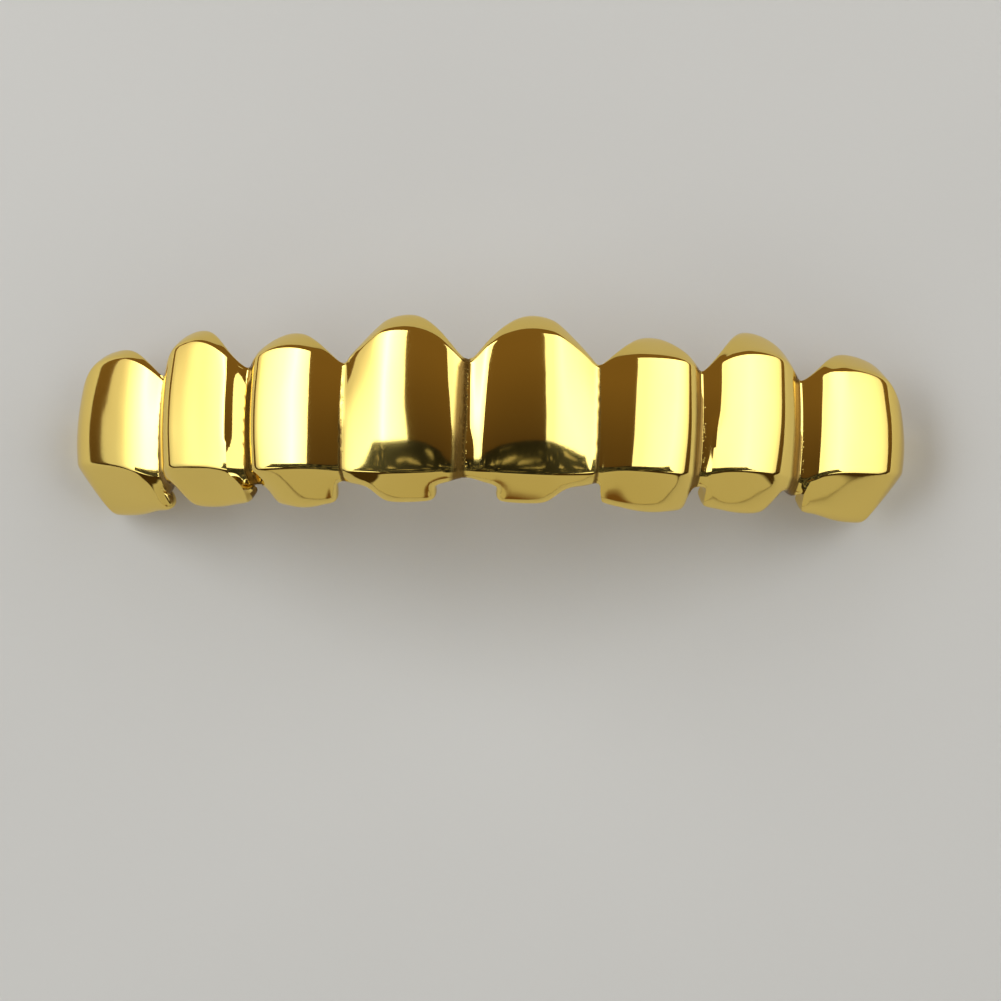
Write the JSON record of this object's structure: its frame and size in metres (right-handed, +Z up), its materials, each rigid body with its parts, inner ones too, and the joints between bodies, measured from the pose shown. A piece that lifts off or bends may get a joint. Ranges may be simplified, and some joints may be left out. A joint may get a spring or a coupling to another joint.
{
  "type": "grillz tooth cover",
  "caption": "Thin cast metal shell of joined tooth caps, with lips that hook behind the biting edges; it pushes over the upper front teeth as mouth jewellery.",
  "frame": {"origin": "middle of the bounding box in X and Y, on the surface that the cover lies on", "axes": "+X to the right as the picture shows it, +Y towards the gum edges, +Z up, the way the polished faces look while it lies on its back"},
  "size_m": [0.056, 0.0122, 0.0155],
  "materials": {
    "tooth_cover": "mirror-polished yellow gold plate outside, duller cast surface inside"
  },
  "bodies": {
    "root": {"tooth_cover": "tooth_cover"}
  },
  "joints": []
}
